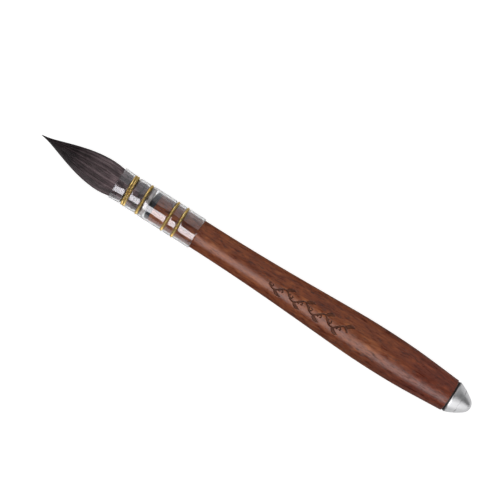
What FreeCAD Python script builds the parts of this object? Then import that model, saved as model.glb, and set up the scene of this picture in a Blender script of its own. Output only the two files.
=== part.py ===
import FreeCAD, Part
import os

import Sketcher

# A round mop watercolour brush. It lies along X with the hair towards -X and the end cap towards +X.
# The origin is under the middle of the brush, on the surface that its widest girth rests on.
# Lengths along the brush are stations: distances in millimetres from the point of the hair.

DIMENSIONS = {
    "overall_length": 169.6,
    "play": 0.03,
    # hair
    "hair_out": 30.0,
    "hair_radius": 5.75,
    "hair_point_radius": 0.2,
    "hair_point_curve": 26.0,
    "hair_point_angle": 4.0,
    "hair_flank_angle": 16.8,
    "hair_flank_start": 5.4,
    "hair_girth_station": 25.5,
    "hair_rear_station": 26.3,
    "hair_knuckle_radius": 5.0,
    "hair_knuckle_gap": 0.3,
    # thread that ties the hair
    "thread_station": 38.1,
    "thread_width": 0.9,
    "thread_thickness": 0.35,
    # clear quill
    "quill_length": 31.5,
    "quill_wall": 0.45,
    "quill_lip_radius": 5.72,
    "quill_waist_radius": 5.47,
    "quill_body_radius": 5.62,
    "quill_rear_radius": 5.54,
    "quill_waist_start": 33.0,
    "quill_waist_end": 39.5,
    "quill_body_start": 43.0,
    # brass wires, each a twisted pair
    "wire_radius": 0.38,
    "wire_pitch": 0.8,
    "wire_mouth_station": 35.03,
    "wire_mouth_reach": 5.52,
    "wire_front_station": 40.6,
    "wire_front_reach": 5.65,
    "wire_middle_station": 50.8,
    "wire_middle_reach": 5.74,
    "wire_rear_station": 54.7,
    "wire_rear_reach": 5.77,
    "wire_knot_radius": 0.5,
    "wire_knot_offset": 0.1,
    "wire_tail_length": 2.2,
    "wire_mouth_tail_angle": -38.0,
    "wire_front_tail_angle": -52.0,
    "wire_middle_tail_angle": -30.0,
    "wire_rear_tail_angle": -44.0,
    "pinch_half_width": 0.75,
    "pinch_bore_widening": 0.2,
    "pinch_seat_widening": 0.25,
    "mouth_extra_sink": 0.12,
    # plug and seal inside the quill
    "seal_nose_station": 42.7,
    "seal_shoulder_station": 43.6,
    "seal_skirt_station": 45.0,
    "seal_thickness": 0.35,
    "seal_skirt_thickness": 0.2,
    # wooden handle
    "tenon_front_radius": 4.75,
    "tenon_rear_radius": 5.0,
    "neck_radius": 5.13,
    "girth_radius": 7.2,
    "girth_start": 132.6,
    "girth_length": 1.5,
    "neck_slope": 2.62,
    "shoulder_curve": 285.0,
    "wood_end_station": 161.55,
    "wood_end_radius": 5.8,
    "wood_end_slope": 4.3,
    "wood_end_round": 0.25,
    "spigot_radius": 3.2,
    "spigot_length": 3.6,
    # end cap and its glue line
    "glue_thickness": 0.55,
    "glue_radius": 5.45,
    "cap_radius": 5.6,
    "cap_chamfer": 0.2,
    "cap_land": 0.3,
    "cap_flank_curve": 22.0,
    "cap_flank_end": 168.4,
    "cap_flank_end_radius": 2.45,
    "cap_nose_curve": 3.1,
    "cap_bore_depth": 3.3,
}

SHEET = "Dimensions"
WIRES = ("mouth", "front", "middle", "rear")


def cell(name):
    """The expression that reads one cell of the sheet."""
    return f"{SHEET}.{name}"


def make_sheet(doc):
    sheet = doc.addObject("Spreadsheet::Sheet", SHEET)
    for row, (name, size) in enumerate(DIMENSIONS.items(), start=1):
        sheet.set(f"A{row}", name)
        sheet.set(f"B{row}", str(size))
        sheet.setAlias(f"B{row}", name)
    doc.recompute()


def put_on_axis(piece, station):
    """Moves a piece modelled about its own X axis to its station on the brush's axis."""
    piece.setExpression(".Placement.Base.x", f"({station}) - {cell('overall_length')} / 2")
    piece.setExpression(".Placement.Base.z", cell("girth_radius"))


def origin_plane(body, role):
    return next(item for item in body.Origin.OriginFeatures if item.Role == role)


def arc_between(start, end, radius, bulge):
    """The short arc from start to end. A bulge of 1 curves it to the left of its run, -1 to the right."""
    chord = end - start
    left = FreeCAD.Vector(-chord.y, chord.x, 0).normalize()
    depth = (radius**2 - (chord.Length / 2) ** 2) ** 0.5
    centre = (start + end) * 0.5 - left * (bulge * depth)
    circle = Part.Circle(centre, FreeCAD.Vector(0, 0, 1), radius)
    first, last = (end, start) if bulge > 0 else (start, end)
    return Part.ArcOfCircle(circle, circle.parameter(first), circle.parameter(last))


def draw_outline(body, name, corners, curves=None):
    """A closed sketch in the body's XZ plane, to be turned about the X axis.

    corners are (place along the axis, distance from the axis) expressions. curves maps a corner's number
    to (radius expression, bulge) for an arc from that corner to the next. Every corner and radius is
    bound to the sheet.
    """
    curves = curves or {}
    sketch = body.newObject("Sketcher::SketchObject", name)
    sketch.AttachmentSupport = [(origin_plane(body, "XZ_Plane"), "")]
    sketch.MapMode = "FlatFace"
    points = [FreeCAD.Vector(*(float(body.evalExpression(item)) for item in corner), 0) for corner in corners]
    starts = []
    ends = []
    for number, start in enumerate(points):
        end = points[(number + 1) % len(points)]
        if number in curves:
            radius, bulge = curves[number]
            arc = arc_between(start, end, float(body.evalExpression(radius)), bulge)
            sketch.addGeometry(arc, False)
            starts.append((number, 2 if bulge > 0 else 1))
            ends.append((number, 1 if bulge > 0 else 2))
        else:
            sketch.addGeometry(Part.LineSegment(start, end), False)
            starts.append((number, 1))
            ends.append((number, 2))
    for number, start in enumerate(starts):
        sketch.addConstraint(Sketcher.Constraint("Coincident", *ends[number - 1], *start))
    for number, (corner, point) in enumerate(zip(corners, points)):
        for kind, axis, expression, size in (
            ("DistanceX", -2, corner[0], point.x),
            ("DistanceY", -1, corner[1], point.y),
        ):
            if expression == "0":
                sketch.addConstraint(Sketcher.Constraint("PointOnObject", *starts[number], axis))
                continue
            made = sketch.addConstraint(Sketcher.Constraint(kind, -1, 1, *starts[number], size))
            label = f"{'along' if kind == 'DistanceX' else 'out'}_{number}"
            sketch.renameConstraint(made, label)
            sketch.setExpression(f"Constraints.{label}", expression)
    for number, (radius, _) in curves.items():
        size = float(body.evalExpression(radius))
        made = sketch.addConstraint(Sketcher.Constraint("Radius", number, size))
        sketch.renameConstraint(made, f"curve_{number}")
        sketch.setExpression(f"Constraints.curve_{number}", radius)
    return sketch


def turn(body, sketch):
    """Turns the sketch once about the body's X axis."""
    feature = body.newObject("PartDesign::Revolution", f"{body.Name}_turned")
    feature.Profile = sketch
    feature.ReferenceAxis = (sketch, ["H_Axis"])
    feature.Angle = 360


def turned_body(doc, name, station, corners, curves=None):
    """A body whose outline is given by stations, with its own origin at one of them."""
    body = doc.addObject("PartDesign::Body", name)
    body.Label = name
    local = [(place if place == "0" else f"({place}) - ({station})", reach) for place, reach in corners]
    sketch = draw_outline(body, f"{name}_outline", local, curves)
    turn(body, sketch)
    put_on_axis(body, station)
    return body


# The quill: its outer radius between named stations, and the pinches that its wires make in it.


def quill_end():
    return f"{cell('hair_out')} + {cell('quill_length')}"


def quill_radius_at(station):
    """The quill's unpinched outer radius: a flared lip, a waist over the hair and a nearly straight body."""
    knots = (
        (cell("hair_out"), cell("quill_lip_radius")),
        (cell("quill_waist_start"), cell("quill_waist_radius")),
        (cell("quill_waist_end"), cell("quill_waist_radius")),
        (cell("quill_body_start"), cell("quill_body_radius")),
        (quill_end(), cell("quill_rear_radius")),
    )
    text = knots[-1][1]
    for (start, inner), (end, outer) in reversed(list(zip(knots, knots[1:]))):
        share = f"(({station}) - ({start})) / (({end}) - ({start}))"
        text = f"(({station}) < ({end}) ? {inner} + ({outer} - {inner}) * {share} : {text})"
    return text


def pinch_half_width(wire):
    """Half the length of quill that a wire draws in. The mouth wire is wound twice."""
    extra = f" + {cell('wire_pitch')} / 2" if wire == "mouth" else ""
    return f"({cell('pinch_half_width')}{extra})"


def pinch_floor(wire):
    """The quill's outer radius at the bottom of a pinch, under the wire or between its two turns."""
    extra = f" - {cell('mouth_extra_sink')}" if wire == "mouth" else ""
    return f"({cell(f'wire_{wire}_reach')} - 2 * {cell('wire_radius')} - {cell('play')}{extra})"


def pinch(wire, inward, widen):
    """Two corners and the arc of one pinch, in a surface that lies inward of the quill's outer one."""
    station = cell(f"wire_{wire}_station")
    half = f"({pinch_half_width(wire)} + {widen})"
    radius = f"({quill_radius_at(station)} - {inward})"
    depth = f"({radius} - {pinch_floor(wire)} + {inward})"
    curve = f"({half} ^ 2 + {depth} ^ 2) / (2 * {depth})"
    return [(f"{station} - {half}", radius), (f"{station} + {half}", radius)], curve


def pinched_line(stations, inward, wires, widen="0"):
    """A line along the quill at a depth under its outer surface: plain stations, and a pinch at each wire."""
    marks = [(float(DIMENSIONS[name]), name) for name in stations]
    marks += [(float(DIMENSIONS[f"wire_{wire}_station"]), wire) for wire in wires]
    corners = []
    curves = {}
    for _, name in sorted(marks):
        if name in wires:
            ends, curve = pinch(name, inward, widen)
            curves[len(corners)] = curve
            corners += ends
        else:
            corners.append((cell(name), f"{quill_radius_at(cell(name))} - {inward}"))
    return corners, curves


def add_line(corners, curves, line, line_curves, bulge, backwards=False):
    """Appends a pinched line to an outline, in either direction, and keeps its arcs."""
    offset = len(corners)
    count = len(line)
    corners.extend(reversed(line) if backwards else line)
    for number, radius in line_curves.items():
        place = count - 2 - number if backwards else number
        curves[offset + place] = (radius, bulge)


def make_quill(doc):
    """A thin clear tube, drawn in under each wire."""
    inward = cell("quill_wall")
    stations = ("quill_waist_start", "quill_waist_end", "quill_body_start")
    corners = [(cell("hair_out"), cell("quill_lip_radius"))]
    curves = {}
    outer, outer_curves = pinched_line(stations, "0", WIRES)
    add_line(corners, curves, outer, outer_curves, -1)
    corners.append((quill_end(), cell("quill_rear_radius")))
    corners.append((quill_end(), f"{cell('quill_rear_radius')} - {inward}"))
    inner, inner_curves = pinched_line(stations, inward, WIRES, cell("pinch_bore_widening"))
    add_line(corners, curves, inner, inner_curves, 1, backwards=True)
    corners.append((cell("hair_out"), f"{cell('quill_lip_radius')} - {inward}"))
    return turned_body(doc, "quill", cell("hair_out"), corners, curves)


def make_hair_tip(doc):
    """The free hair: a needle point, straight flanks and a round belly, hollowed behind for the knuckle."""
    flank = f"({cell('hair_flank_angle')} * 1deg)"
    start_angle = f"({cell('hair_point_angle')} * 1deg)"
    point_rise = f"{cell('hair_point_curve')} * (cos{start_angle} - cos{flank})"
    flank_start = f"({cell('hair_point_radius')} + {point_rise})"
    run = f"({cell('hair_girth_station')} - {cell('hair_flank_start')})"
    rise = f"({cell('hair_radius')} - {flank_start})"
    belly = f"(({run} * tan{flank} - {rise}) / (1 / cos{flank} - 1))"
    socket = f"({cell('hair_knuckle_radius')} + {cell('hair_knuckle_gap')})"
    rear = cell("hair_rear_station")
    corners = [
        ("0", "0"),
        ("0", cell("hair_point_radius")),
        (cell("hair_flank_start"), flank_start),
        (
            f"{cell('hair_girth_station')} - {belly} * sin{flank}",
            f"{cell('hair_radius')} - {belly} * (1 - cos{flank})",
        ),
        (cell("hair_girth_station"), cell("hair_radius")),
        (rear, cell("hair_radius")),
        (rear, f"sqrt({socket} ^ 2 - ({cell('hair_out')} - {rear}) ^ 2)"),
        (f"{cell('hair_out')} - {socket}", "0"),
    ]
    point_run = cell("hair_flank_start")
    point_chord = f"sqrt({point_run} ^ 2 + ({flank_start} - {cell('hair_point_radius')}) ^ 2)"
    curves = {
        1: (f"{point_chord} / (2 * sin(({flank} - {start_angle}) / 2))", -1),
        3: (belly, 1),
        6: (socket, -1),
    }
    return turned_body(doc, "hair_tip", "0", corners, curves)


def make_hair_root(doc):
    """The hair held in the quill, with a round knuckle at its front that the free hair leans about."""
    inward = f"({cell('quill_wall')} + 2 * {cell('play')})"
    thread_front = cell("thread_station")
    thread_rear = f"{cell('thread_station')} + {cell('thread_width')}"
    side = f"{cell('quill_waist_radius')} - {inward}"
    floor = f"{side} - {cell('thread_thickness')} - {cell('play')}"
    corners = [
        (f"{cell('hair_out')} - {cell('hair_knuckle_radius')}", "0"),
        (cell("hair_out"), cell("hair_knuckle_radius")),
        (cell("quill_waist_start"), side),
    ]
    curves = {0: (cell("hair_knuckle_radius"), 1)}
    mouth, mouth_curve = pinch("mouth", inward, cell("pinch_seat_widening"))
    add_line(corners, curves, mouth, {0: mouth_curve}, -1)
    corners += [(thread_front, side), (thread_front, floor), (thread_rear, floor), (thread_rear, side)]
    front, front_curve = pinch("front", inward, cell("pinch_seat_widening"))
    curves[len(corners)] = (front_curve, -1)
    corners += [front[0], (cell("wire_front_station"), f"{pinch_floor('front')} - {inward}")]
    corners.append((cell("wire_front_station"), "0"))
    return turned_body(doc, "hair_root", cell("hair_out"), corners, curves)


def make_root_thread(doc):
    """The thread wound round the hair's base, in a groove of its own."""
    front = f"{cell('thread_station')} + {cell('play')}"
    rear = f"{cell('thread_station')} + {cell('thread_width')} - {cell('play')}"
    side = f"{cell('quill_waist_radius')} - {cell('quill_wall')} - {cell('play')}"
    floor = f"{side} - {cell('thread_thickness')}"
    corners = [(front, floor), (front, side), (rear, side), (rear, floor)]
    return turned_body(doc, "root_thread", cell("thread_station"), corners)


# The rounded end of the tenon, and the seal and plug that lie against it.


def dome_radius(nose, reach):
    """The radius of a dome that starts square to the axis at its nose and ends at the seal's shoulder."""
    run = f"({cell('seal_shoulder_station')} - ({nose}))"
    return f"(({run} ^ 2 + ({reach}) ^ 2) / (2 * {run}))"


def make_resin_plug(doc):
    """The pale resin behind the hair, up to the end of the seal."""
    front = f"{cell('wire_front_station')} + {cell('play')}"
    inward = f"({cell('quill_wall')} + {cell('play')})"
    rear = f"({cell('seal_nose_station')} - {cell('play')})"
    waist, waist_curve = pinch("front", inward, cell("pinch_seat_widening"))
    corners = [
        (front, "0"),
        (front, f"{pinch_floor('front')} - {inward}"),
        waist[1],
        (rear, f"{quill_radius_at(rear)} - {inward}"),
        (rear, "0"),
    ]
    return turned_body(doc, "resin_plug", cell("wire_front_station"), corners, {1: (waist_curve, -1)})


def seal_inner_nose():
    return f"({cell('seal_nose_station')} + {cell('seal_thickness')})"


def seal_inner_radius():
    return f"({cell('tenon_front_radius')} + {cell('play')})"


def make_tenon_seal(doc):
    """The black cup of sealing glue over the tenon's domed end."""
    nose = cell("seal_nose_station")
    shoulder = cell("seal_shoulder_station")
    skirt = cell("seal_skirt_station")
    reach = f"({cell('tenon_front_radius')} + {cell('seal_skirt_thickness')})"
    corners = [
        (seal_inner_nose(), "0"),
        (nose, "0"),
        (shoulder, reach),
        (skirt, reach),
        (skirt, seal_inner_radius()),
        (shoulder, seal_inner_radius()),
    ]
    curves = {
        1: (dome_radius(nose, reach), 1),
        5: (dome_radius(seal_inner_nose(), seal_inner_radius()), -1),
    }
    return turned_body(doc, "tenon_seal", nose, corners, curves)


# The wooden handle.


def tangent_curves(run, rise, slope):
    """The sum of two radii whose arcs, joined by a straight at this slope, give this run and rise."""
    return f"(({run} * tan{slope} - {rise}) / (1 / cos{slope} - 1))"


def tenon_radius_at(station):
    front = cell("seal_skirt_station")
    share = f"(({station}) - {front}) / ({quill_end()} - {front})"
    growth = f"({cell('tenon_rear_radius')} - {cell('tenon_front_radius')})"
    return f"{cell('tenon_front_radius')} + {growth} * {share}"


def add_tenon_seats(corners, curves):
    """The two grooves of the tenon that take the quill's rear pinches."""
    for wire in ("middle", "rear"):
        station = cell(f"wire_{wire}_station")
        half = f"({cell('pinch_half_width')} + {cell('pinch_seat_widening')})"
        floor = f"({pinch_floor(wire)} - {cell('quill_wall')} - {cell('play')})"
        depth = f"({tenon_radius_at(station)} - {floor})"
        curves[len(corners)] = (f"({half} ^ 2 + {depth} ^ 2) / (2 * {depth})", -1)
        corners.append((f"{station} - {half}", tenon_radius_at(f"{station} - {half}")))
        corners.append((f"{station} + {half}", tenon_radius_at(f"{station} + {half}")))


def make_handle(doc):
    """One turned piece of wood: domed tenon, slim neck, full girth, end and spigot."""
    nose = f"({seal_inner_nose()} + {cell('play')})"
    dome_end = f"({cell('seal_shoulder_station')} + {cell('play')})"
    shoulder =f"({quill_end()} + {cell('play')})"
    neck = f"({cell('neck_slope')} * 1deg)"
    end = f"({cell('wood_end_slope')} * 1deg)"
    girth_end = f"({cell('girth_start')} + {cell('girth_length')})"
    round_start = f"({cell('wood_end_station')} - {cell('wood_end_round')})"
    neck_run = f"({cell('girth_start')} - {shoulder})"
    neck_rise = f"({cell('girth_radius')} - {cell('neck_radius')})"
    neck_curve = f"({tangent_curves(neck_run, neck_rise, neck)} - {cell('shoulder_curve')})"
    end_run = f"({round_start} - {girth_end})"
    end_rise = f"({cell('girth_radius')} - {cell('wood_end_radius')})"
    end_curve = tangent_curves(end_run, end_rise, end)
    front_radius = cell("tenon_front_radius")
    corners = [(nose, "0"), (dome_end, front_radius), (cell("seal_skirt_station"), front_radius)]
    curves = {0: (dome_radius(seal_inner_nose(), front_radius), 1)}
    add_tenon_seats(corners, curves)
    corners.append((shoulder, cell("tenon_rear_radius")))
    curves[len(corners)] = (neck_curve, -1)
    corners += [
        (shoulder, cell("neck_radius")),
        (f"{shoulder} + {neck_curve} * sin{neck}", f"{cell('neck_radius')} + {neck_curve} * (1 - cos{neck})"),
    ]
    curves[len(corners)] = (cell("shoulder_curve"), 1)
    corners += [
        (
            f"{cell('girth_start')} - {cell('shoulder_curve')} * sin{neck}",
            f"{cell('girth_radius')} - {cell('shoulder_curve')} * (1 - cos{neck})",
        ),
        (cell("girth_start"), cell("girth_radius")),
    ]
    curves[len(corners)] = (end_curve, 1)
    corners += [
        (girth_end, cell("girth_radius")),
        (f"{girth_end} + {end_curve} * sin{end}", f"{cell('girth_radius')} - {end_curve} * (1 - cos{end})"),
    ]
    curves[len(corners)] = (cell("wood_end_round"), 1)
    spigot_end = f"{cell('wood_end_station')} + {cell('spigot_length')}"
    corners += [
        (round_start, cell("wood_end_radius")),
        (cell("wood_end_station"), f"{cell('wood_end_radius')} - {cell('wood_end_round')}"),
        (cell("wood_end_station"), cell("spigot_radius")),
        (spigot_end, cell("spigot_radius")),
        (spigot_end, "0"),
    ]
    return turned_body(doc, "handle", shoulder, corners, curves)


# The end cap and its glue line.


def cap_bore():
    return f"({cell('spigot_radius')} + {cell('play')})"


def cap_base():
    return f"({cell('wood_end_station')} + {cell('glue_thickness')})"


def make_cap_glue(doc):
    """The thin dark glue line between the wood's end and the cap."""
    front = f"{cell('wood_end_station')} + {cell('play')} / 2"
    rear = f"{cap_base()} - {cell('play')} / 2"
    side = cell("glue_radius")
    corners = [(front, cap_bore()), (front, side), (rear, side), (rear, cap_bore())]
    return turned_body(doc, "cap_glue", cell("wood_end_station"), corners)


def make_end_cap(doc):
    """A turned metal cap: a bright narrow land, a long curved flank, a round nose and a blind bore."""
    land_start = f"{cap_base()} + {cell('cap_chamfer')}"
    land_end = f"{land_start} + {cell('cap_land')}"
    bore_end = f"{cap_base()} + {cell('cap_bore_depth')}"
    corners = [
        (cap_base(), cap_bore()),
        (cap_base(), f"{cell('cap_radius')} - {cell('cap_chamfer')}"),
        (land_start, cell("cap_radius")),
        (land_end, cell("cap_radius")),
        (cell("cap_flank_end"), cell("cap_flank_end_radius")),
        (cell("overall_length"), "0"),
        (bore_end, "0"),
        (bore_end, cap_bore()),
    ]
    curves = {3: (cell("cap_flank_curve"), 1), 4: (cell("cap_nose_curve"), 1)}
    return turned_body(doc, "end_cap", cap_base(), corners, curves)


# The wires: rings of twisted wire, each with its two ends twisted together and folded flat on the quill.


def along_axis(piece, station):
    """Lays a primitive's own Z axis along the brush at a station."""
    piece.Placement = FreeCAD.Placement(FreeCAD.Vector(), FreeCAD.Rotation(FreeCAD.Vector(0, 1, 0), 90))
    put_on_axis(piece, station)


def lay_beside(piece, wire, station, reach):
    """Lays a primitive along the brush at a distance from its axis, at the angle of the wire's tail."""
    along_axis(piece, station)
    angle = f"({cell(f'wire_{wire}_tail_angle')} * 1deg)"
    piece.setExpression(".Placement.Base.y", f"{reach} * cos{angle}")
    piece.setExpression(".Placement.Base.z", f"{cell('girth_radius')} + {reach} * sin{angle}")


def make_wire(doc, wire):
    """One binding. The one at the mouth has two turns side by side, the others one."""
    station = cell(f"wire_{wire}_station")
    turns = 2 if wire == "mouth" else 1
    rings = []
    for number in range(turns):
        ring = doc.addObject("Part::Torus", f"wire_{wire}_turn_{number + 1}")
        ring.setExpression("Radius1", f"{cell(f'wire_{wire}_reach')} - {cell('wire_radius')}")
        ring.setExpression("Radius2", cell("wire_radius"))
        along_axis(ring, f"{station} + {cell('wire_pitch')} * ({number} - ({turns} - 1) / 2)")
        rings.append(ring)
    last = f"{station} + {cell('wire_pitch')} * ({turns} - 1) / 2"
    knot = doc.addObject("Part::Sphere", f"wire_{wire}_knot")
    knot.setExpression("Radius", cell("wire_knot_radius"))
    lay_beside(knot, wire, last, f"({cell(f'wire_{wire}_reach')} + {cell('wire_knot_offset')})")
    tail = doc.addObject("Part::Cylinder", f"wire_{wire}_tail")
    tail.setExpression("Radius", cell("wire_radius"))
    tail.setExpression("Height", cell("wire_tail_length"))
    tail_reach = f"({cell('quill_body_radius')} + {cell('wire_radius')} + {cell('play')} / 2)"
    lay_beside(tail, wire, last, tail_reach)
    joined = doc.addObject("Part::MultiFuse", f"wire_{wire}")
    joined.Label = f"wire_{wire}"
    joined.Shapes = [*rings, knot, tail]
    return joined


def make_wires(doc):
    return [make_wire(doc, wire) for wire in WIRES]


BODIES = (
    make_hair_tip,
    make_hair_root,
    make_root_thread,
    make_resin_plug,
    make_tenon_seal,
    make_quill,
    make_handle,
    make_cap_glue,
    make_end_cap,
)


def check(doc, pieces):
    """Stops if any object failed, or any sub-part is null or not valid."""
    for item in doc.Objects:
        if "Invalid" in item.State or "Error" in item.State:
            raise RuntimeError(f"{item.Name} failed: {item.State}")
    for piece in pieces:
        if piece.Shape.isNull() or not piece.Shape.isValid():
            raise RuntimeError(f"{piece.Label} has no valid shape")


def main():
    doc = FreeCAD.newDocument("paint_brush")
    make_sheet(doc)
    pieces = [make(doc) for make in BODIES] + make_wires(doc)
    doc.recompute()
    check(doc, pieces)
    os.makedirs("parts", exist_ok=True)
    for piece in pieces:
        piece.Shape.exportStep(f"parts/{piece.Label}.step")
        box = piece.Shape.optimalBoundingBox(False)
        span = f"x {box.XMin:8.3f} to {box.XMax:8.3f}, z {box.ZMin:7.3f} to {box.ZMax:7.3f}"
        print(f"{piece.Label:12s} {len(piece.Shape.Solids)} solid(s) {piece.Shape.Volume:9.2f} mm3, {span}")


main()
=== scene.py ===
import math

import bmesh
import bpy
import numpy as np
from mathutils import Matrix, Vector


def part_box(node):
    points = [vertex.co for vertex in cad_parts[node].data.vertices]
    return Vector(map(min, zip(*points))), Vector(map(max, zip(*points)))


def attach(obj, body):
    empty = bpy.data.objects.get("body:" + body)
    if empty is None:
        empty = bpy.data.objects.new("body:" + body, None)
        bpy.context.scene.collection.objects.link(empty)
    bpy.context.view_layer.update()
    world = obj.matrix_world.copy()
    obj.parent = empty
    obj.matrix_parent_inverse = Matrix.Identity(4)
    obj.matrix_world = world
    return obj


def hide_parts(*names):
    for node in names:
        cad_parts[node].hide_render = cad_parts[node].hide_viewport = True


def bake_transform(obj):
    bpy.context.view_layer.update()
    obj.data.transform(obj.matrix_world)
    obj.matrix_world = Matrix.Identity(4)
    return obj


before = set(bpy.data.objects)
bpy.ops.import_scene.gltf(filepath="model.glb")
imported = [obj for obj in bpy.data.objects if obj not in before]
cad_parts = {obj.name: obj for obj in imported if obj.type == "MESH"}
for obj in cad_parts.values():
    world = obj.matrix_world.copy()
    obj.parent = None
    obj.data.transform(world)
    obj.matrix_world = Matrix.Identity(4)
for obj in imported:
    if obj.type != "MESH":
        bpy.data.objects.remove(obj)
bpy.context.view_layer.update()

# The brush lies along x. The frame, and each name that ends in X or Z, is in metres. The sizes of the brush's
# pieces are in millimetres, and a place along it is given by its station: its distance from the hair's point.

MM = 0.001
RNG = np.random.default_rng(11)

# ---------------------------------------------------------------- places, read from the frame


def low(node):
    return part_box(node)[0]


def high(node):
    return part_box(node)[1]


AXIS_Z = (low("handle").z + high("handle").z) / 2
TIP_X = low("hair_tip").x
QUILL_END_X = high("quill").x
WOOD_END_X = low("cap_glue").x
CAP_X = low("end_cap").x
CAP_END_X = high("end_cap").x


def station(millimetres):
    """The x of a place given by its distance from the hair's point."""
    return TIP_X + np.asarray(millimetres) * MM


def node_profile(node, start, end):
    """A turned CAD node's outer radius along x, as two arrays, between two places."""
    points = np.array([vertex.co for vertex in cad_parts[node].data.vertices])
    reach = np.hypot(points[:, 1], points[:, 2] - AXIS_Z)
    places = np.round(points[:, 0], 6)
    xs = np.array([x for x in np.unique(places) if start - 1e-6 <= x <= end + 1e-6])
    return xs, np.array([reach[places == x].max() for x in xs])


def smooth_through(x, y, new_x):
    """A smooth curve through points, with no overshoot, read at new places."""
    x, y, new_x = (np.asarray(item, float) for item in (x, y, new_x))
    slopes = np.diff(y) / np.diff(x)
    tangents = np.concatenate([slopes[:1], np.zeros(len(x) - 2), slopes[-1:]])
    before, after = slopes[:-1], slopes[1:]
    same = before * after > 0
    tangents[1:-1][same] = (2 * before * after)[same] / (before + after)[same]
    place = np.clip(np.searchsorted(x, new_x) - 1, 0, len(x) - 2)
    width = x[place + 1] - x[place]
    t = np.clip((new_x - x[place]) / width, 0, 1)
    return (
        (1 + 2 * t) * (1 - t) ** 2 * y[place]
        + t * (1 - t) ** 2 * width * tangents[place]
        + t**2 * (3 - 2 * t) * y[place + 1]
        + t**2 * (t - 1) * width * tangents[place + 1]
    )


def step(start, end, x):
    """0 before start, 1 after end, smooth between."""
    t = np.clip((np.asarray(x, float) - start) / (end - start), 0, 1)
    return t * t * (3 - 2 * t)


# ---------------------------------------------------------------- mesh helpers

TURNED_SIDES = 160


def around(count):
    """Evenly spaced angles, once round."""
    return np.linspace(0, 2 * math.pi, count, endpoint=False)


def new_object(name, vertices, faces):
    """A smooth mesh object whose faces all look outward."""
    mesh = bpy.data.meshes.new(name)
    mesh.from_pydata(np.asarray(vertices).tolist(), [], faces)
    mesh.update()
    work = bmesh.new()
    work.from_mesh(mesh)
    bmesh.ops.recalc_face_normals(work, faces=work.faces)
    work.to_mesh(mesh)
    work.free()
    mesh.shade_smooth()
    obj = bpy.data.objects.new(name, mesh)
    bpy.context.collection.objects.link(obj)
    return obj


def set_attribute(obj, name, values):
    """Stores one number for each vertex, for a material to read."""
    attribute = obj.data.attributes.new(name, "FLOAT", "POINT")
    attribute.data.foreach_set("value", np.asarray(values, np.float32).ravel())


def grid_faces(index, closed_rows=False):
    """Quads between the rows of a (row, column) grid of vertex numbers whose columns go all round."""
    below = index if closed_rows else index[:-1]
    above = np.roll(index, -1, axis=0) if closed_rows else index[1:]
    quads = np.stack([below, np.roll(below, -1, 1), np.roll(above, -1, 1), above], -1)
    return quads.reshape(-1, 4).tolist()


def turned(name, xs, radii, angles=None, closed=False):
    """A solid turned about the brush's axis.

    radii has one value for each x, or one row for each x with one value for each angle. A radius of 0
    at an end closes it with a point. A closed outline ends where it began, as a ring's does.
    """
    angles = around(TURNED_SIDES) if angles is None else angles
    xs = np.asarray(xs, float)
    radii = np.asarray(radii, float)
    if radii.ndim == 1:
        radii = np.repeat(radii[:, None], len(angles), axis=1)
    first = 0 if radii[0].max() > 0 else 1
    last = len(xs) if radii[-1].max() > 0 else len(xs) - 1
    rows = radii[first:last]
    across = np.repeat(xs[first:last, None], len(angles), axis=1)
    vertices = np.stack([across, rows * np.cos(angles), AXIS_Z + rows * np.sin(angles)], -1).reshape(-1, 3)
    index = np.arange(rows.size).reshape(rows.shape)
    faces = grid_faces(index, closed)
    for pointed, x, row in ((first == 1, xs[0], index[0]), (last < len(xs), xs[-1], index[-1])):
        if pointed:
            faces += [(len(vertices), int(a), int(b)) for a, b in zip(row, np.roll(row, -1))]
            vertices = np.vstack([vertices, [x, 0, AXIS_Z]])
    return new_object(name, vertices, faces)


def tubes(centres, across, outward, radii, sides, closed=False):
    """Vertices and faces of many tubes at once. Each array is (tube, ring) or (tube, ring, xyz)."""
    turn = around(sides)[:, None]
    ring = np.cos(turn) * across[..., None, :] + np.sin(turn) * outward[..., None, :]
    vertices = centres[..., None, :] + radii[..., None, None] * ring
    index = np.arange(vertices.size // 3).reshape(vertices.shape[:3])
    faces = []
    for tube in index:
        faces += grid_faces(tube, closed)
        if not closed:
            faces += [tube[0].tolist(), tube[-1].tolist()]
    return vertices.reshape(-1, 3), faces


def joined(parts):
    """Several (vertices, faces) as one."""
    vertices = []
    faces = []
    count = 0
    for part_vertices, part_faces in parts:
        vertices.append(part_vertices)
        faces += [[corner + count for corner in face] for face in part_faces]
        count += len(part_vertices)
    return np.vstack(vertices), faces


def frames_along(path):
    """Two directions square to a path at each of its points."""
    run = np.gradient(path, axis=0)
    run /= np.linalg.norm(run, axis=1)[:, None]
    across = np.empty_like(path)
    before = np.cross(run[0], (0.3, 0.5, 0.8))
    for number, direction in enumerate(run):
        before = before - direction * before.dot(direction)
        before /= np.linalg.norm(before)
        across[number] = before
    return across, np.cross(run, across)


# ---------------------------------------------------------------- material helpers


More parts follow.
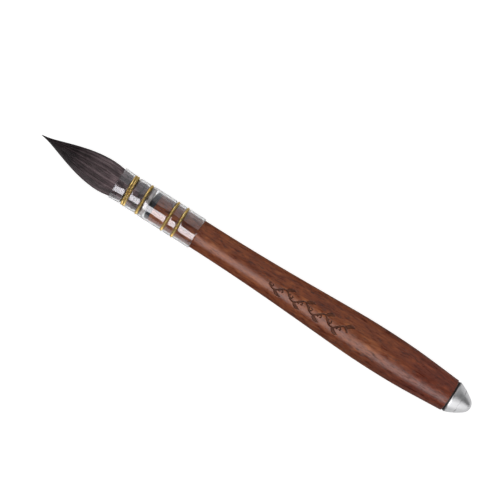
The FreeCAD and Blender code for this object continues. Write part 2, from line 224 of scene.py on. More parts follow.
class Shading:
    """One procedural material, and short ways to add nodes to it."""

    def __init__(self, name):
        self.material = bpy.data.materials.new(name)
        self.material.use_nodes = True
        self.nodes = self.material.node_tree.nodes
        self.links = self.material.node_tree.links
        self.shader = self.nodes["Principled BSDF"]

    def feed(self, socket, item):
        if isinstance(item, bpy.types.NodeSocket):
            self.links.new(item, socket)
        elif isinstance(item, tuple):
            socket.default_value = (*item, 1) if len(socket.default_value) == 4 else item
        else:
            socket.default_value = item

    def set(self, **values):
        for name, item in values.items():
            self.feed(self.shader.inputs[name.replace("_", " ")], item)

    def attribute(self, name):
        node = self.nodes.new("ShaderNodeAttribute")
        node.attribute_name = name
        return node.outputs["Fac"]

    def place(self, scale=(1, 1, 1), shift=(0, 0, 0)):
        """Object coordinates in metres, scaled by a different amount along each axis."""
        mapping = self.nodes.new("ShaderNodeMapping")
        mapping.inputs["Scale"].default_value = scale
        mapping.inputs["Location"].default_value = shift
        coordinates = self.nodes.new("ShaderNodeTexCoord").outputs["Object"]
        self.links.new(coordinates, mapping.inputs["Vector"])
        return mapping.outputs["Vector"]

    def along(self, start, end):
        """0 at x = start and 1 at x = end, in metres."""
        split = self.nodes.new("ShaderNodeSeparateXYZ")
        self.links.new(self.place(), split.inputs[0])
        node = self.nodes.new("ShaderNodeMapRange")
        self.links.new(split.outputs["X"], node.inputs["Value"])
        node.inputs["From Min"].default_value = start
        node.inputs["From Max"].default_value = end
        return node.outputs["Result"]

    def noise(self, scale, shift=(0, 0, 0), detail=3.0, rough=0.5, distortion=0.0):
        node = self.nodes.new("ShaderNodeTexNoise")
        self.links.new(self.place(scale, shift), node.inputs["Vector"])
        node.inputs["Scale"].default_value = 1.0
        node.inputs["Detail"].default_value = detail
        node.inputs["Roughness"].default_value = rough
        node.inputs["Distortion"].default_value = distortion
        return node.outputs["Fac"]

    def ramp(self, source, *stops):
        """A colour ramp. Each stop is (place, grey) or (place, (red, green, blue))."""
        node = self.nodes.new("ShaderNodeValToRGB")
        elements = node.color_ramp.elements
        elements.remove(elements[-1])
        for number, (place, colour) in enumerate(stops):
            element = elements[0] if number == 0 else elements.new(place)
            element.position = place
            element.color = (*colour, 1) if isinstance(colour, tuple) else (colour, colour, colour, 1)
        self.links.new(source, node.inputs["Fac"])
        return node.outputs["Color"]

    def math(self, operation, first, second=0.0):
        node = self.nodes.new("ShaderNodeMath")
        node.operation = operation
        self.feed(node.inputs[0], first)
        self.feed(node.inputs[1], second)
        return node.outputs[0]

    def mix(self, share, first, second, blend="MIX"):
        node = self.nodes.new("ShaderNodeMix")
        node.data_type = "RGBA"
        node.blend_type = blend
        self.feed(node.inputs[0], share)
        self.feed(node.inputs[6], first)
        self.feed(node.inputs[7], second)
        return node.outputs[2]

    def bump(self, height, strength, distance):
        node = self.nodes.new("ShaderNodeBump")
        node.inputs["Strength"].default_value = strength
        node.inputs["Distance"].default_value = distance
        self.links.new(height, node.inputs["Height"])
        self.links.new(node.outputs["Normal"], self.shader.inputs["Normal"])


def finish_piece(obj, material, node):
    """Gives a piece its material and slot, and lets it stand for a CAD node that rides on the brush."""
    obj.data.materials.append(material)
    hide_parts(node)
    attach(obj, "brush")


# ---------------------------------------------------------------- hair

HAIR_LINE = (  # station, radius in millimetres: a needle point, straight flanks, a round belly
    (0.0, 0.06),
    (1.7, 0.33),
    (3.7, 0.77),
    (6.0, 1.47),
    (10.0, 2.76),
    (14.0, 3.95),
    (17.5, 4.80),
    (21.0, 5.40),
    (25.0, 5.70),
    (27.5, 5.56),
    (30.0, 5.18),
    (33.0, 4.92),
    (37.8, 4.80),
    (40.6, 4.55),
)
HAIR_OUT = 30.0
BELLY_RADIUS = 5.7
SETTLED_ASIDE = 0.17
STRAIGHT_AGAIN = (22.0, 37.0)  # the stations between which the hair comes back to the axis
BORE_ROOM = 0.06
FINEST_RADIUS = 0.02

STRANDS = 1450
STRAND_RINGS = 19
STRAND_SIDES = 3
STRAND_TURN = 2.39996  # the golden angle in radians, which spreads the strands evenly all round
STRAND_ROOTS = (32.4, 33.4)
STRAND_SHORTFALL = 11.0  # how far from the point the shortest strands end
STRAND_RADII = (0.075, 0.115)
STRAND_WAVES = (0.15, 0.45)  # radians of waviness in each millimetre
WAVE_SWING = 0.022  # in radians round the axis
LOCKS = 23
LOCK_GATHER = 0.45  # the share of its spread that a lock loses towards the hair's point
LOCK_VALLEY = 0.30
LOCK_TONES = 12.9898  # a step that gives neighbouring locks unrelated tones
PALE_SHARE = 0.10

HEART_SIDES = 150
HEART_DEPTH = 0.30
HEART_FRONT = 0.6
HEART_REAR = 40.55
HEART_RISE = (31.2, 32.8)  # the stations between which the heart comes up to the hair's surface
RIDGE_DEPTH = 0.07


def hair_radius(stations):
    """The tuft's radius in millimetres. Inside the quill it follows the bore, with a little room."""
    line = smooth_through(*zip(*HAIR_LINE), stations)
    bore = quill_outer(stations) - QUILL_WALL - BORE_ROOM
    return np.where(stations > HAIR_OUT + 1.0, np.minimum(line, bore), line)


def hair_side(stations):
    """How far the free hair has settled to one side of the axis, in metres."""
    return -SETTLED_ASIDE * MM * (1 - step(*STRAIGHT_AGAIN, stations))


def make_strands():
    """Fine tapered strands in loose locks, ending at staggered lengths and sinking in just inside the quill.

    Gives their mesh, their rings' stations, the number of each strand's lock, and its side within the lock.
    """
    angle = np.mod(np.arange(STRANDS) * STRAND_TURN + RNG.uniform(-0.05, 0.05, STRANDS), 2 * math.pi)
    end = 0.1 + STRAND_SHORTFALL * RNG.random(STRANDS) ** 1.8
    start = RNG.uniform(*STRAND_ROOTS, STRANDS)
    stations = start[:, None] + (end - start)[:, None] * np.linspace(0, 1, STRAND_RINGS)

    place = angle * LOCKS / (2 * math.pi) + 0.35 * np.sin(3 * angle + 1.0)
    lock = np.round(place)
    side = 2 * (place - lock)
    gather = LOCK_GATHER * (1 - step(6.0, 27.0, stations)) * math.pi / LOCKS
    wave = stations * RNG.uniform(*STRAND_WAVES, (STRANDS, 1)) + RNG.uniform(0, 6.3, (STRANDS, 1))
    angles = angle[:, None] - gather * side[:, None] + WAVE_SWING * np.sin(wave)

    surface = hair_radius(stations)
    depth = RNG.uniform(0.0, 0.3, (STRANDS, 1)) ** 1.3 * step(0.5, 12.0, stations)
    depth = depth + 0.4 * step(31.6, 33.0, stations)
    parted = step(3.0, 12.0, stations) * (1 - step(24.0, 30.0, stations))
    valley = LOCK_VALLEY * np.abs(side[:, None]) ** 3 * parted
    radii = RNG.uniform(*STRAND_RADII, (STRANDS, 1)) * (0.30 + 0.70 * np.sqrt(surface / BELLY_RADIUS))
    radii *= 0.12 + 0.88 * step(0, 5.5, stations - end[:, None])
    reach = np.maximum(surface - depth - valley - radii * 0.6, FINEST_RADIUS) * MM

    cosines, sines, zeros = np.cos(angles), np.sin(angles), np.zeros_like(angles)
    centres = np.stack([station(stations), hair_side(stations) + reach * cosines, AXIS_Z + reach * sines], -1)
    across = np.stack([zeros, -sines, cosines], -1)
    outward = np.stack([zeros, cosines, sines], -1)
    return tubes(centres, across, outward, radii * MM, STRAND_SIDES), stations, lock, side


def make_heart():
    """The tuft's solid inside, which lies under the strands and is ridged like them inside the quill.

    Gives its mesh, its rings' stations, and the tone of each of its points. Under the free hair the tone is
    painted almost black, as painted shade in the gaps between strands.
    """
    free = np.linspace(HEART_FRONT + 0.6, 30.4, 40)
    stations = np.concatenate([[HEART_FRONT], free, np.linspace(30.7, HEART_REAR, 60)])
    in_quill = step(*HEART_RISE, stations)
    radii = hair_radius(stations) - HEART_DEPTH * step(0.0, 12.0, stations) * (1 - in_quill) - 0.04
    radii[0] = FINEST_RADIUS
    ridges = in_quill[:, None] * RNG.random(HEART_SIDES)
    reach = (radii[:, None] - RIDGE_DEPTH * ridges) * MM
    turn = around(HEART_SIDES)
    x = np.repeat(station(stations)[:, None], HEART_SIDES, 1)
    y = hair_side(stations)[:, None] + reach * np.cos(turn)
    vertices = np.stack([x, y, AXIS_Z + reach * np.sin(turn)], -1).reshape(-1, 3)
    index = np.arange(x.size).reshape(x.shape)
    faces = grid_faces(index) + [index[0].tolist(), index[-1].tolist()]
    # Painted shade: outside the quill the heart's tone is 0.02, almost black, so the gaps between strands
    # look shaded.
    return (vertices, faces), stations, 0.02 + 0.2 * in_quill[:, None] + 0.5 * ridges


def make_hair():
    """Strands over a heart, as one piece."""
    strands, strand_stations, lock, side = make_strands()
    heart, heart_stations, heart_tone = make_heart()
    hair = new_object("hair", *joined([strands, heart]))

    lock_tone = 0.5 + 0.5 * np.sin(lock * LOCK_TONES)
    # The - 0.25 * side**2 term paints strands darker towards their lock's edges, down in the valleys between
    # locks: painted shade.
    tone = 0.15 + 0.30 * RNG.random(STRANDS) + 0.38 * lock_tone - 0.25 * side**2
    tone[RNG.random(STRANDS) < PALE_SHARE] += 0.30
    strand_tone = np.repeat(tone, STRAND_RINGS * STRAND_SIDES)
    set_attribute(hair, "tone", np.concatenate([strand_tone, heart_tone.ravel()]))
    along = [np.repeat(strand_stations.ravel(), STRAND_SIDES), np.repeat(heart_stations, HEART_SIDES)]
    set_attribute(hair, "along", np.concatenate(along) / HAIR_OUT)
    hair.data.materials.append(hair_material())
    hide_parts("hair_tip", "hair_root")
    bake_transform(hair)


def hair_material():
    """Brown-black hair. Each strand has its own tone, and all are paler towards the quill."""
    s = Shading("soft_hair")
    tone = s.attribute("tone")
    root = s.ramp(tone, (0.0, (0.026, 0.014, 0.017)), (0.5, (0.18, 0.12, 0.13)), (1.0, (0.54, 0.41, 0.43)))
    point = s.ramp(
        tone,
        (0.0, (0.006, 0.003, 0.004)),
        (0.6, (0.021, 0.010, 0.013)),
        (1.0, (0.068, 0.042, 0.047)),
    )
    share = s.ramp(s.attribute("along"), (0.42, 0.0), (0.94, 1.0))
    fine = s.noise((900, 9000, 9000), detail=2)
    clumps = s.noise((150, 800, 800), (8, 2, 6), detail=3)
    mottle = s.ramp(clumps, (0.38, 0.42), (0.62, 1.05))
    shade = s.mix(1.0, s.ramp(fine, (0.3, 0.72), (0.7, 1.0)), mottle, "MULTIPLY")
    s.set(
        Base_Color=s.mix(1.0, s.mix(share, point, root), shade, "MULTIPLY"),
        Roughness=s.ramp(fine, (0.3, 0.42), (0.7, 0.58)),
        Specular_IOR_Level=0.28,
    )
    return s.material


# ---------------------------------------------------------------- clear quill

QUILL_LINE = ((30.0, 5.72), (31.2, 5.60), (33.0, 5.47), (39.5, 5.47), (43.0, 5.62), (61.5, 5.54))
QUILL_START, QUILL_END = QUILL_LINE[0][0], QUILL_LINE[-1][0]
QUILL_WALL = 0.45
QUILL_RINGS = 230
QUILL_SIDES = 144
LIP_ROUND = 0.22
OUT_OF_ROUND = 0.03
RIPPLE = 0.018
WIRE_RADIUS = 0.38  # of the plain wire in the CAD model, whose middle the twisted pair follows
PAIR_REACH = 0.43  # from the middle of a twisted pair to its outermost point
SINGLE_RADIUS = PAIR_REACH / 2  # of each of a pair's two wires, which touch along its middle
WIRE_GAP = 0.03
WIRE_PITCH = 0.8
PINCH_HALF = 1.15
PINCH_SHARPNESS = 1.6


class Wire:
    """A binding: its station, its outer reach, its turns, its tail's angle in degrees, and its lean.

    The quill is drawn in under it to the radius sink, which extra_sink makes smaller.
    """

    def __init__(self, name, place, reach, turns, tail_angle, lean, extra_sink=0.0):
        self.name = name
        self.place = place
        self.reach = reach
        self.turns = turns
        self.tail_angle = math.radians(tail_angle)
        self.lean = lean
        self.sink = reach - WIRE_RADIUS - PAIR_REACH - WIRE_GAP - extra_sink


WIRES = (
    Wire("mouth", 35.03, 5.52, 2, -38, 0.30, 0.12),
    Wire("front", 40.6, 5.65, 1, -52, 0.0),
    Wire("middle", 50.8, 5.74, 1, -30, -0.2),
    Wire("rear", 54.7, 5.77, 1, -44, 0.0),
)


def quill_outer(stations):
    """The quill's outer radius in millimetres, drawn in under each wire."""
    line = smooth_through(*zip(*QUILL_LINE), stations)
    for wire in WIRES:
        flat = WIRE_PITCH * (wire.turns - 1) / 2
        away = np.clip((np.abs(stations - wire.place) - flat) / PINCH_HALF, 0, 1)
        line = line - (line - wire.sink) * (0.5 + 0.5 * np.cos(math.pi * away)) ** PINCH_SHARPNESS
    return line


def make_quill():
    """A thin clear tube with a rounded, slightly flared lip. Being soft, it is a little out of round."""
    body = np.linspace(QUILL_START + LIP_ROUND, QUILL_END - LIP_ROUND, QUILL_RINGS)
    outer = quill_outer(body)
    middle = outer - QUILL_WALL / 2
    bend = np.linspace(0, math.pi, 9)[1:-1]
    lip, rim = body[0] - LIP_ROUND * np.sin(bend), body[-1] + LIP_ROUND * np.sin(bend)
    lip_radii = middle[0] - QUILL_WALL / 2 * np.cos(bend)
    rim_radii = middle[-1] + QUILL_WALL / 2 * np.cos(bend)
    xs = np.concatenate([lip, body, rim, body[::-1]])
    radii = np.concatenate([lip_radii, outer, rim_radii, (outer - QUILL_WALL)[::-1]])
    angles = around(QUILL_SIDES)
    uneven = OUT_OF_ROUND * np.sin(2 * angles + 0.4) * np.sin(xs * 0.5)[:, None]
    uneven += RIPPLE * np.sin(5 * angles + xs[:, None] * 0.8)
    uneven *= (step(QUILL_START, 34.0, xs) * (1 - step(57.0, 61.0, xs)))[:, None]
    quill = turned("clear_quill", station(xs), (radii[:, None] + uneven) * MM, angles, closed=True)
    finish_piece(quill, quill_material(), "quill")


def quill_material():
    """Clear plastic, with a trace of cloud and fine scuffs along it."""
    s = Shading("clear_plastic")
    cloud = s.noise((260, 260, 260))
    scuffs = s.noise((260, 2300, 2300), detail=2)
    s.set(
        Base_Color=s.ramp(cloud, (0.35, (0.94, 0.94, 0.95)), (0.7, (0.98, 0.98, 0.99))),
        Roughness=s.ramp(scuffs, (0.5, 0.0), (0.8, 0.05)),
        IOR=1.46,
        Transmission_Weight=1.0,
        Specular_Tint=(0.94, 0.90, 1.0),
        Coat_Weight=1.0,
        Coat_Roughness=0.03,
        Coat_IOR=1.5,
    )
    return s.material


# ---------------------------------------------------------------- twisted brass wires

RING_LAY = 1.07  # the length of a twisted pair that holds one full twist
TAIL_LAY = 0.8
WIRE_CORNERS = 8
RING_STEPS = 420
TAIL_STEPS = 60
TAIL_REACH = 6.015
TAIL_LENGTH = 2.2


def twisted_pair(path, side, out, twist, closed=False):
    """Two round wires twisted about a path in metres, whose cross directions are side and out."""
    twist = (twist + np.array([[0], [math.pi]]))[..., None]
    radial = np.cos(twist) * side + np.sin(twist) * out
    binormal = np.cos(twist) * out - np.sin(twist) * side
    centres = path + (PAIR_REACH - SINGLE_RADIUS) * MM * radial
    radii = np.full(centres.shape[:2], SINGLE_RADIUS * MM)
    return tubes(centres, radial, binormal, radii, WIRE_CORNERS, closed)


def wire_ring(place, reach, lean):
    """One turn of twisted wire round the quill. Its +Y side is nearer the hair by its lean."""
    angles = around(RING_STEPS)
    out = np.stack([0 * angles, np.cos(angles), np.sin(angles)], -1)
    path = reach * MM * out
    path[:, 0] = station(place - lean * np.cos(angles))
    path[:, 2] += AXIS_Z
    side = np.repeat([[1.0, 0.0, 0.0]], len(angles), 0)
    twists = round(2 * math.pi * reach / RING_LAY)
    return twisted_pair(path, side, out, angles * twists, True)


def wire_tail(wire):
    """The two ends of a binding, twisted together and folded flat along the quill."""
    last = wire.place + WIRE_PITCH * (wire.turns - 1) / 2
    out = np.array([0, math.cos(wire.tail_angle), math.sin(wire.tail_angle)])
    aside = np.array([0, -math.sin(wire.tail_angle), math.cos(wire.tail_angle)])
    corners = (  # along the quill, out from the axis, round it
        (-0.1, wire.reach - 0.50, -0.8),
        (0.0, wire.reach - 0.15, -0.25),
        (0.25, wire.reach + 0.12, 0.05),
        (0.8, TAIL_REACH - 0.02, 0.0),
        (1.5, TAIL_REACH, 0.05),
        (TAIL_LENGTH, TAIL_REACH, 0.0),
    )
    knots = np.array([(station(last + x), 0, AXIS_Z) + (out * r + aside * a) * MM for x, r, a in corners])
    t = np.linspace(0, len(corners) - 1, TAIL_STEPS)
    path = np.stack([smooth_through(range(len(corners)), knots[:, axis], t) for axis in range(3)], -1)
    length = np.concatenate([[0], np.cumsum(np.linalg.norm(np.diff(path, axis=0), axis=1))])
    return twisted_pair(path, *frames_along(path), length / (TAIL_LAY * MM) * 2 * math.pi)


def brass_material():
    """Bright drawn brass. Where a pair's two wires face each other in the groove between them, they are
    painted nearly black, as painted shade.
    """
    s = Shading("drawn_brass")
    stain = s.noise((700, 700, 700))
    bright = s.ramp(stain, (0.35, (0.90, 0.58, 0.16)), (0.65, (1.0, 0.76, 0.30)))
    s.set(
        # Painted shade: the sides of the wires that face into the groove between them are painted nearly
        # black.
        Base_Color=s.mix(s.ramp(s.attribute("out"), (0.25, 0.0), (0.85, 1.0)), (0.10, 0.040, 0.010), bright),
        Metallic=0.6,
        Roughness=s.ramp(stain, (0.3, 0.30), (0.7, 0.20)),
    )
    return s.material


def make_wires():
    """The four bindings. Each point knows how far out of the groove between its pair's wires it lies."""
    brass = brass_material()
    corner_out = 0.5 + 0.5 * np.cos(around(WIRE_CORNERS))
    for wire in WIRES:
        places = [wire.place + WIRE_PITCH * (number - (wire.turns - 1) / 2) for number in range(wire.turns)]
        rings = [wire_ring(place, wire.reach - WIRE_RADIUS, wire.lean) for place in places]
        binding = new_object(f"brass_{wire.name}", *joined([*rings, wire_tail(wire)]))
        set_attribute(binding, "out", np.tile(corner_out, len(binding.data.vertices) // WIRE_CORNERS))
        finish_piece(binding, brass, f"wire_{wire.name}")


# ---------------------------------------------------------------- inside the quill

PLUG_FRONT = 40.75
PLUG_STAINED_TO = 41.8
STAIN_FADE = 0.5
PLUG_ROOM = 0.04
SEAL_ROOM = 0.03
THREAD_TURNS = 5
THREAD_STEPS = 96
THREAD_SIDES = 6
THREAD_REACH = 4.83
THREAD_RADIUS = 0.1


def make_plug():
    """The resin that fills the quill between the hair and the seal."""
    rear = (low("tenon_seal").x - TIP_X) / MM - SEAL_ROOM
    xs = np.linspace(PLUG_FRONT, rear, 20)
    outer = quill_outer(xs) - QUILL_WALL - PLUG_ROOM
    outline_x = np.concatenate([[PLUG_FRONT], xs, [rear]])
    outline_r = np.concatenate([[0], outer, [0]])
    plug = turned("resin", station(outline_x), outline_r * MM)
    finish_piece(plug, resin_material(), "resin_plug")


def resin_material():
    """Clouded resin, stained dark by the hair in front of it. Where it meets the seal it is painted pale, as
    painted light for the bright line that clear resin refracts there.
    """
    s = Shading("stained_resin")
    cloud = s.noise((900, 900, 900), detail=4)
    # Painted light: the pale colour, used towards the seal, stands in for light refracted by clear resin.
    pale = s.ramp(cloud, (0.3, (0.36, 0.32, 0.31)), (0.7, (0.62, 0.58, 0.57)))
    stained = s.ramp(cloud, (0.3, (0.04, 0.025, 0.018)), (0.7, (0.12, 0.08, 0.05)))
    fade = s.along(station(PLUG_STAINED_TO - STAIN_FADE), station(PLUG_STAINED_TO + STAIN_FADE))
    edge = s.math("ADD", s.math("ADD", fade, -0.2), s.math("MULTIPLY", cloud, 0.4))
    s.set(
        Base_Color=s.mix(s.ramp(edge, (0.35, 0.0), (0.65, 1.0)), stained, pale),
        Roughness=0.6,
        Specular_IOR_Level=0.2,
    )
    return s.material


def make_thread():
    """A few turns of fine thread that tie the hair."""
    turn = np.linspace(0, THREAD_TURNS * 2 * math.pi, THREAD_TURNS * THREAD_STEPS)
    radius = THREAD_RADIUS * MM
    out = np.stack([0 * turn, np.cos(turn), np.sin(turn)], -1)
    path = THREAD_REACH * MM * out + (0, 0, AXIS_Z)
    path[:, 0] = np.linspace(low("root_thread").x + radius, high("root_thread").x - radius, len(turn))
    side = np.repeat([[1.0, 0.0, 0.0]], len(turn), 0)
    radii = np.full((1, len(turn)), radius)
    thread = new_object("thread", *tubes(path[None], side[None], out[None], radii, THREAD_SIDES))
    finish_piece(thread, thread_material(), "root_thread")


def thread_material():
    """Dark waxed thread with a fibrous surface."""
    s = Shading("waxed_thread")
    fibre = s.noise((3000, 3000, 3000))
    s.set(Base_Color=s.ramp(fibre, (0.3, (0.03, 0.02, 0.02)), (0.7, (0.10, 0.08, 0.07))), Roughness=0.6)
    s.bump(fibre, 0.4, 0.00003)
    return s.material


def paint_node(node, name, dark, light, roughness):
    """Gives a carried-over CAD node a clouded dark finish."""
    s = Shading(name)
    cloud = s.noise((600, 600, 600))
    s.set(Base_Color=s.ramp(cloud, (0.3, dark), (0.7, light)), Roughness=roughness, Specular_IOR_Level=0.25)
    s.bump(cloud, 0.2, 0.00005)
    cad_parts[node].data.materials.clear()
    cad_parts[node].data.materials.append(s.material)


# ---------------------------------------------------------------- wooden handle

TENON_NOSE = 43.1
TENON_DOME = 0.53
TENON_FRONT_RADIUS = 4.73
TENON_RADIUS = 4.95
TENON_ROOM = 0.05
TENON_RINGS = 70
OUTSIDE_QUILL = 5.05  # a radius between the tenon's and the neck's, to tell them apart
SHOULDER_CHAMFER = 0.08
WOOD_END_ROUND = 0.25
SPIGOT_RADIUS = 3.2
RING_SPACE = 1.0
FINE_RING_SPACE = 0.10
PATCH_COLUMNS = 84
OTHER_COLUMNS = 72
ORNAMENT_START = 90.8
ORNAMENT_END = 121.0
ORNAMENT_SHIFT = 0.9
ORNAMENT_DEPTH = 0.22
ORNAMENT_HALF = 3.7
ORNAMENT_RADIUS = 6.4
VINE_WAVE = 7.6
VINE_SWING = 1.15
FAR_OFF = 99  # stands in for every place that is off the ornament's patch


def ornament_strokes():
    """A running vine: a waved stem with a leaf and a curl at each bend, each as (points, half width)."""
    t = np.linspace(0, ORNAMENT_END - ORNAMENT_START, 160)
    phase = 2 * math.pi * t / VINE_WAVE
    strokes = [(np.stack([t, VINE_SWING * np.sin(phase)], -1), 0.20 + 0.08 * np.cos(phase) ** 2)]
    for number, bend in enumerate(np.arange(0.25 * VINE_WAVE, t[-1] - 0.5, 0.5 * VINE_WAVE)):
        side = 1 if number % 2 == 0 else -1
        leaf = np.linspace(0, 1, 24)
        rise = VINE_SWING * 0.95 + 1.35 * np.sin(leaf * 1.9)
        points = np.stack([bend + 0.3 + 3.0 * leaf, side * rise], -1)
        strokes.append((points, 0.06 + 0.52 * np.sin(math.pi * leaf**0.8) ** 1.2))
        curl = np.linspace(0, 1, 30)
        radius, turn = 0.85 * (1 - 0.75 * curl), 1.2 + 5.0 * curl
        points = np.stack([bend - 0.9 - radius * np.sin(turn), side * (-0.25 - radius * np.cos(turn))], -1)
        strokes.append((points, 0.20 - 0.08 * curl))
    return strokes


def ornament_mask(along, across):
    """How deep the ornament is at each grid point, 0 to 1. Both are in millimetres."""
    mask = np.zeros((len(along), len(across)))
    for points, half in ornament_strokes():
        near = (along > points[:, 0].min() - 1) & (along < points[:, 0].max() + 1)
        x = along[near][:, None, None] - points[:, 0]
        y = across[None, :, None] - points[:, 1]
        mask[near] = np.maximum(mask[near], step(-0.10, 0.12, (half - np.hypot(x, y)).max(axis=-1)))
    return mask


def handle_outline():
    """The handle's stations and radii, from the tenon's nose to the spigot's end, finest at the ornament."""
    profile_x, profile_r = node_profile("handle", QUILL_END_X, WOOD_END_X + 0.1 * MM)
    outer = profile_r > OUTSIDE_QUILL * MM
    profile_x, profile_r = profile_x[outer], profile_r[outer]
    shoulder, wood_end = (profile_x[[0, -1]] - TIP_X) / MM
    skirt = (high("tenon_seal").x - TIP_X) / MM
    spigot_end = (high("handle").x - TIP_X) / MM

    rise = np.linspace(0.1, 1, 10)
    body = np.linspace(skirt + 0.3, shoulder, TENON_RINGS)
    tenon = np.concatenate([TENON_NOSE + TENON_DOME * rise**2, [skirt], body])
    body_r = np.full(TENON_RINGS, TENON_RADIUS)
    tenon_r = np.concatenate([TENON_FRONT_RADIUS * rise, [TENON_FRONT_RADIUS], body_r])
    tenon_r = np.minimum(tenon_r, quill_outer(tenon) - QUILL_WALL - TENON_ROOM)

    wood = np.concatenate(
        [
            [shoulder + 0.001, shoulder + 0.10],
            np.arange(shoulder + 0.6, ORNAMENT_START - 1.2, RING_SPACE),
            np.arange(ORNAMENT_START - 1.0, ORNAMENT_END + 1.5, FINE_RING_SPACE),
            np.arange(ORNAMENT_END + 2.0, wood_end - 0.5, RING_SPACE),
            wood_end - WOOD_END_ROUND + WOOD_END_ROUND * np.sin(np.linspace(0, 0.5 * math.pi, 6)),
        ]
    )
    wood_r = smooth_through(profile_x, profile_r, station(wood)) / MM
    wood_r[0] -= SHOULDER_CHAMFER

    stations = np.concatenate([[TENON_NOSE], tenon, wood, [wood_end, spigot_end, spigot_end]])
    return stations, np.concatenate([[0], tenon_r, wood_r, [SPIGOT_RADIUS, SPIGOT_RADIUS, 0]])


def make_handle():
    """The turned handle in fine rings, with the ornament pressed and burnt into its upper side. The material
    paints its groove walls darker still, as painted shade.
    """
    xs, radii = handle_outline()
    top = 0.5 * math.pi + ORNAMENT_SHIFT / ORNAMENT_RADIUS
    half_patch = ORNAMENT_HALF / ORNAMENT_RADIUS
    patch = np.linspace(top - half_patch, top + half_patch, PATCH_COLUMNS)
    angles = np.concatenate([patch, np.linspace(patch[-1], patch[0] + 2 * math.pi, OTHER_COLUMNS)[1:-1]])
    across = (angles - top) * ORNAMENT_RADIUS
    burn_and_wall_shade = ornament_mask(xs - ORNAMENT_START, np.where(np.abs(across) < ORNAMENT_HALF, across, FAR_OFF))
    handle = turned("wooden_handle", station(xs), (radii[:, None] - ORNAMENT_DEPTH * burn_and_wall_shade) * MM, angles)
    set_attribute(handle, "burn_and_wall_shade", np.concatenate([burn_and_wall_shade[1:-1].ravel(), [0, 0]]))
    finish_piece(handle, wood_material(), "handle")


def wood_material():
    """Red-brown open-pored wood under a satin varnish, its grain along the handle, darker at its end."""
    s = Shading("red_brown_wood")
    figure = s.noise((45, 200, 200), detail=4, rough=0.6, distortion=0.6)
    streaks = s.noise((260, 1100, 1100), (3, 5, 1), detail=4, rough=0.65)
    grain = s.math("ADD", s.math("MULTIPLY", figure, 0.4), s.math("MULTIPLY", streaks, 0.6))
    base = s.ramp(
        grain,
        (0.38, (0.107, 0.020, 0.006)),
        (0.46, (0.168, 0.035, 0.009)),
        (0.55, (0.238, 0.058, 0.014)),
        (0.66, (0.38, 0.110, 0.027)),
    )
    red_end = s.ramp(s.along(station(128), station(150)), (0.0, 0.0), (1.0, 0.8))
    base = s.mix(red_end, base, s.mix(1.0, base, (0.72, 0.48, 0.68), "MULTIPLY"))
    pores = s.noise((480, 2600, 2600), (1, 2, 3), detail=2, rough=0.6)
    zones = s.noise((60, 240, 240), (7, 1, 2), detail=2)
    mask = s.math("MULTIPLY", s.ramp(pores, (0.54, 0.0), (0.65, 0.8)), s.ramp(zones, (0.36, 0.2), (0.6, 1.0)))
    char = s.ramp(streaks, (0.4, (0.014, 0.004, 0.002)), (0.7, (0.050, 0.016, 0.008)))
    # The ornament's burnt colour is darkest on the groove's walls, which is painted shade, and lighter on the
    # groove's floor.
    burn_and_wall_shade = s.ramp(s.attribute("burn_and_wall_shade"), (0.05, 0.0), (0.4, 0.95), (0.7, 0.9), (1.0, 0.7))
    dull = s.math("MAXIMUM", mask, burn_and_wall_shade)
    s.set(
        Base_Color=s.mix(burn_and_wall_shade, s.mix(mask, base, (0.020, 0.006, 0.004)), char),
        Roughness=s.mix(dull, s.ramp(streaks, (0.3, 0.24), (0.7, 0.36)), (0.75, 0.75, 0.75)),
        Specular_IOR_Level=s.mix(burn_and_wall_shade, (0.43, 0.43, 0.43), (0.12, 0.12, 0.12)),
    )
    s.bump(s.math("SUBTRACT", s.math("MULTIPLY", streaks, 0.35), mask), 0.25, 0.00006)
    return s.material


# ---------------------------------------------------------------- end cap

CAP_BORE_RADIUS = 3.23
CAP_BORE_DEPTH = 3.3
CAP_RINGS = 150
CUT_DEPTH = 0.004
CUT_TURN = 38  # radians of waviness in each millimetre


def make_cap():
    """The turned metal cap with its blind bore, in fine rings with the faint waviness of a lathe cut."""
    profile_x, profile_r = node_profile("end_cap", CAP_X, CAP_END_X)
    profile_r[-1] = 0
    travel = np.concatenate([[0], np.cumsum(np.hypot(np.diff(profile_x), np.diff(profile_r)))])
    fine = np.linspace(0, travel[-1], CAP_RINGS)
    xs = np.interp(fine, travel, profile_x)
    radii = np.interp(fine, travel, profile_r)
    cut = CUT_DEPTH * MM * np.sin(fine / MM * CUT_TURN) * step(0.6 * MM, 1.2 * MM, fine)
    radii = np.maximum(radii + cut * step(0, 0.6 * MM, radii), 0)
    bore, bore_end = CAP_BORE_RADIUS * MM, CAP_X + CAP_BORE_DEPTH * MM
    xs = np.concatenate([[bore_end, bore_end, CAP_X], xs])
    cap = turned("metal_cap", xs, np.concatenate([[0, bore, bore], radii]))
    finish_piece(cap, aluminium_material(), "end_cap")


def aluminium_material():
    """Satin aluminium with fine turning marks round it."""
    s = Shading("turned_aluminium")
    rings = s.noise((14000, 60, 60), detail=2)
    s.set(
        Base_Color=s.ramp(rings, (0.3, (0.56, 0.56, 0.57)), (0.7, (0.66, 0.66, 0.67))),
        Metallic=1.0,
        Roughness=s.ramp(rings, (0.3, 0.36), (0.7, 0.44)),
    )
    s.bump(rings, 0.12, 0.00002)
    return s.material


# ---------------------------------------------------------------- camera, floor and light

# These are in metres and radians, but the sensor is in millimetres and FLOOR_LEAN is a slope.

VIEW_TURN = math.radians(32.6)
VIEW_CENTRE = (station(79.34), 4.9 * MM)
VIEW_WIDTH = 166.67 * MM
VIEW_DISTANCE = 1.0
SENSOR = 36.0
FLOOR_REACH = 6.0
FLOOR_LEAN = 0.0133
FLOOR_GAP = 0.03 * MM
GIRTH_X = station(133.35)


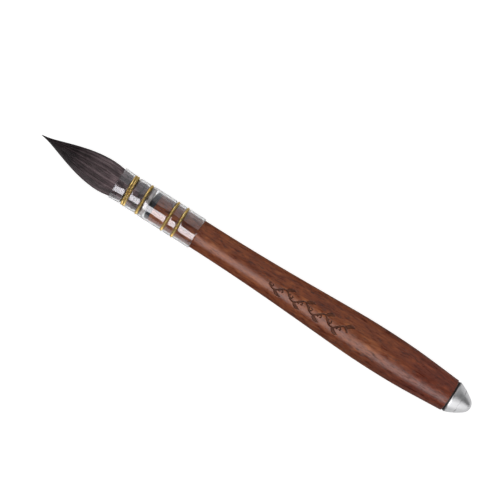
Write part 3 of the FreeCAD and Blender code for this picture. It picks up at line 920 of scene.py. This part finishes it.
def make_camera():
    """Straight above the brush, turned so that the hair points to the upper left."""
    data = bpy.data.cameras.new("camera")
    data.sensor_width = SENSOR
    data.lens = SENSOR * VIEW_DISTANCE / VIEW_WIDTH
    data.clip_start, data.clip_end = 0.01, 20
    camera = bpy.data.objects.new("camera", data)
    bpy.context.collection.objects.link(camera)
    camera.location = (*VIEW_CENTRE, AXIS_Z + VIEW_DISTANCE)
    camera.rotation_euler = (0, 0, VIEW_TURN)
    bpy.context.scene.camera = camera


def make_light(name, place, size, radiance, mirrored=True, shading=True):
    """A rectangular soft light that faces the brush and looks equally bright all over.

    It is left out of reflections and clear plastic unless mirrored, and out of diffuse light unless shading.
    """
    data = bpy.data.lights.new(name, "AREA")
    data.shape = "RECTANGLE"
    data.size, data.size_y = size
    data.energy = radiance * math.pi * size[0] * size[1]
    lamp = bpy.data.objects.new(name, data)
    bpy.context.collection.objects.link(lamp)
    lamp.location = place
    lamp.rotation_euler = (-Vector(place)).to_track_quat("-Z", "Y").to_euler()
    lamp.visible_camera = False
    lamp.visible_glossy = lamp.visible_transmission = mirrored
    lamp.visible_diffuse = shading


def make_floor():
    """A wide white floor that leans a little, to lie close under both the girth and the hair's belly."""
    sides = ((-1, -1), (1, -1), (1, 1), (-1, 1))
    places = [(FLOOR_REACH * x, FLOOR_REACH * y) for x, y in sides]
    corners = [(x, y, (GIRTH_X - x) * FLOOR_LEAN - FLOOR_GAP) for x, y in places]
    floor = new_object("floor", corners, [(0, 1, 2, 3)])
    floor.visible_glossy = False
    s = Shading("white_paper")
    tooth = s.noise((300, 300, 300))
    s.set(
        Base_Color=s.ramp(tooth, (0.3, 0.48), (0.7, 0.52)),
        Roughness=0.9,
        Specular_IOR_Level=0.1,
        Emission_Color=(1.0, 1.0, 1.0),
        Emission_Strength=0.8,
    )
    floor.data.materials.append(s.material)


def make_room():
    """A nearly dark room, seen only where no light is mirrored."""
    world = bpy.data.worlds.new("studio")
    world.use_nodes = True
    world.node_tree.nodes["Background"].inputs["Color"].default_value = (0.07, 0.07, 0.07, 1)
    bpy.context.scene.world = world


def make_studio():
    """An even ceiling that shades, and a bright softbox and dim panels that are only mirrored.

    The floor is not mirrored, so the last two panels stand in for it in the end cap's polish.
    """
    make_light("ceiling", (0.0, 0.0, 1.4), (3.4, 3.4), 0.95, mirrored=False)
    make_light("softbox", (-0.2, -0.38, 0.585), (1.5, 0.54), 4.1, shading=False)
    make_light("far_panel", (0.0, 0.8, 0.45), (1.8, 1.3), 0.48, shading=False)
    make_light("end_panel", (1.0, -0.6, 0.5), (1.7, 1.2), 1.35, shading=False)
    make_light("end_floor", (0.9, 0.0, -0.75), (3.6, 1.5), 0.85, shading=False)
    make_room()
    bpy.context.scene.view_settings.view_transform = "Standard"


def main():
    make_camera()
    make_studio()
    make_floor()
    make_hair()
    make_quill()
    make_wires()
    make_plug()
    make_thread()
    paint_node("tenon_seal", "black_seal", (0.008, 0.009, 0.012), (0.03, 0.033, 0.04), 0.3)
    make_handle()
    paint_node("cap_glue", "dark_glue", (0.006, 0.005, 0.005), (0.02, 0.016, 0.014), 0.5)
    make_cap()


main()
